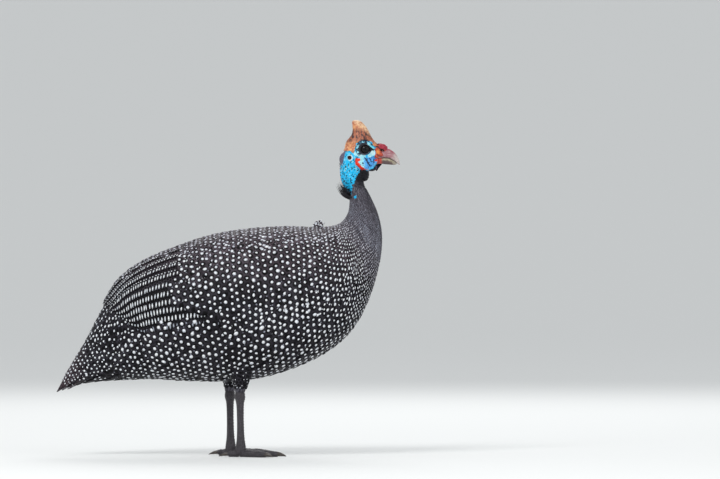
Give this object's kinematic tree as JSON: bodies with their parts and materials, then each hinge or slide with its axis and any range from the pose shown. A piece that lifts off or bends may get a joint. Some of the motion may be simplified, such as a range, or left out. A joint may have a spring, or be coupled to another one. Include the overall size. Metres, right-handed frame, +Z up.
{
  "type": "helmeted guineafowl display model",
  "caption": "Life-size still model of a standing helmeted guineafowl: round speckled body, folded wings, drooping tail, bare blue neck and face, bony casque.",
  "frame": {"origin": "on the floor under the middle of the bounding box", "axes": "+X the way the bird faces, +Y its left side, +Z up"},
  "size_m": [0.4295, 0.168, 0.42],
  "materials": {
    "dark_feather": "matte black-brown plumage with white spots",
    "grey_feather": "matte slate plumage with fine pale barring",
    "blue_skin": "bare bright blue skin",
    "red_skin": "bare warty red skin",
    "wattle_skin": "bare blue skin with a scarlet rim",
    "casque_horn": "dry horn, orange-brown to tan",
    "bill_horn": "smooth horn, dull pink",
    "eye": "wet dark eye",
    "leg_skin": "scaly slate-brown skin",
    "claw_horn": "smooth dark horn"
  },
  "bodies": {
    "root": {"torso": "dark_feather", "wing_left": "dark_feather", "wing_right": "dark_feather", "tail": "dark_feather", "thigh_left": "dark_feather", "thigh_right": "dark_feather", "neck_lower": "grey_feather", "neck_upper": "blue_skin", "head": "blue_skin", "casque": "casque_horn", "cere": "red_skin", "bill_upper": "bill_horn", "bill_lower": "bill_horn", "wattle_left": "wattle_skin", "wattle_right": "wattle_skin", "eye_left": "eye", "eye_right": "eye", "shank_left": "leg_skin", "shank_right": "leg_skin", "foot_left": "leg_skin", "foot_right": "leg_skin", "claw_middle_left": "claw_horn", "claw_inner_left": "claw_horn", "claw_outer_left": "claw_horn", "claw_hind_left": "claw_horn", "claw_middle_right": "claw_horn", "claw_inner_right": "claw_horn", "claw_outer_right": "claw_horn", "claw_hind_right": "claw_horn"}
  },
  "joints": []
}
